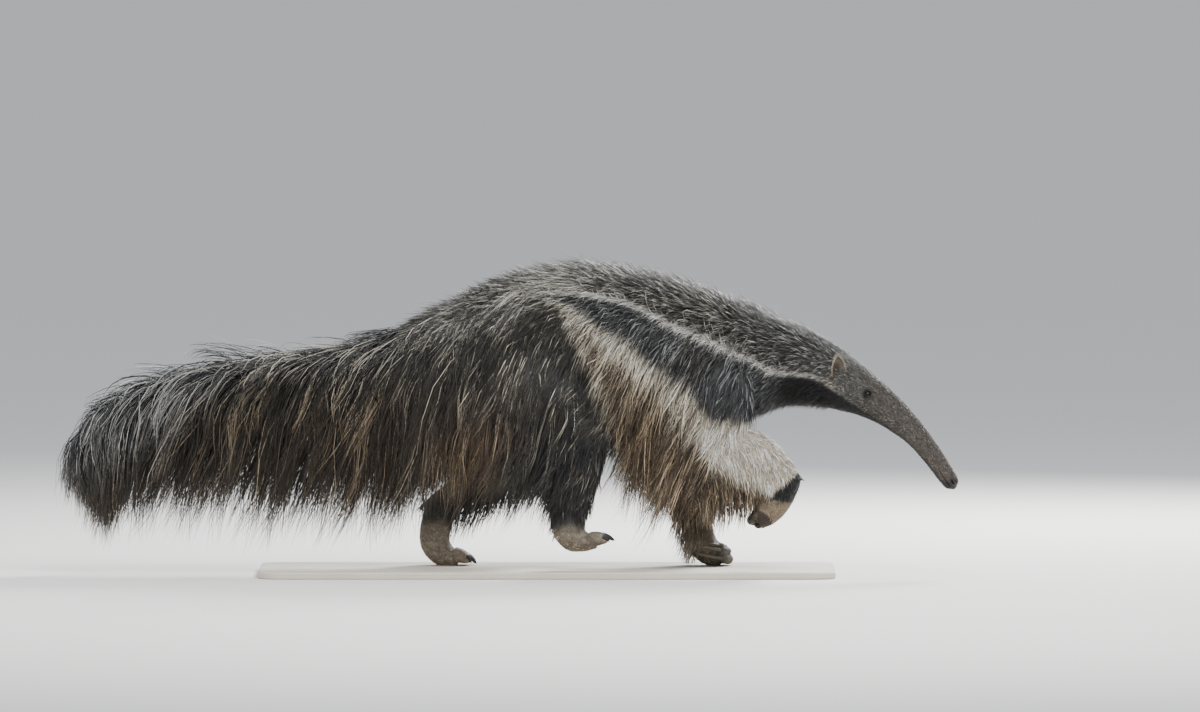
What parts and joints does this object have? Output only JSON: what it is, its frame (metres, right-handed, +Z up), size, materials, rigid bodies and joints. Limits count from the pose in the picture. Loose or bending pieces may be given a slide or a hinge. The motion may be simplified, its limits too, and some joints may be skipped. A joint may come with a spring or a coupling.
{
  "type": "giant anteater",
  "caption": "Life-size giant anteater, still, mid-stride with a long bushy tail and a narrow curved snout, on a flat display base.",
  "frame": {"origin": "under the middle of the whole, on the underside of the display base", "axes": "+Z up, +X the way the animal faces, +Y to its left"},
  "size_m": [1.8504, 0.4, 0.6496],
  "materials": {
    "fur_back": "short grizzled grey-brown fur",
    "fur_dark": "long coarse blackish hair with tan streaks",
    "fur_cream": "dense cream fur",
    "fur_brown": "short brown fur",
    "eye": "wet dark brown",
    "claw": "dark horn with paler tips",
    "base": "pale sand-coloured board"
  },
  "bodies": {
    "root": {"torso": "fur_back", "neck": "fur_back", "head": "fur_back", "ear_left": "fur_back", "ear_right": "fur_back", "eye_left": "eye", "eye_right": "eye", "tail_root": "fur_dark", "tail_middle": "fur_dark", "tail_end": "fur_dark", "stand_base": "base", "thigh_left": "fur_dark", "shank_left": "fur_dark", "foot_left": "fur_brown", "arm_left": "fur_cream", "forearm_left": "fur_cream", "paw_left": "fur_brown", "claw_hind_left_1": "claw", "claw_hind_left_2": "claw", "claw_hind_left_3": "claw", "claw_hind_left_4": "claw", "claw_hind_left_5": "claw", "claw_fore_left_1": "claw", "claw_fore_left_2": "claw", "claw_fore_left_3": "claw", "claw_fore_left_4": "claw", "thigh_right": "fur_dark", "shank_right": "fur_dark", "foot_right": "fur_brown", "arm_right": "fur_cream", "forearm_right": "fur_cream", "paw_right": "fur_brown", "claw_hind_right_1": "claw", "claw_hind_right_2": "claw", "claw_hind_right_3": "claw", "claw_hind_right_4": "claw", "claw_hind_right_5": "claw", "claw_fore_right_1": "claw", "claw_fore_right_2": "claw", "claw_fore_right_3": "claw", "claw_fore_right_4": "claw"}
  },
  "joints": []
}
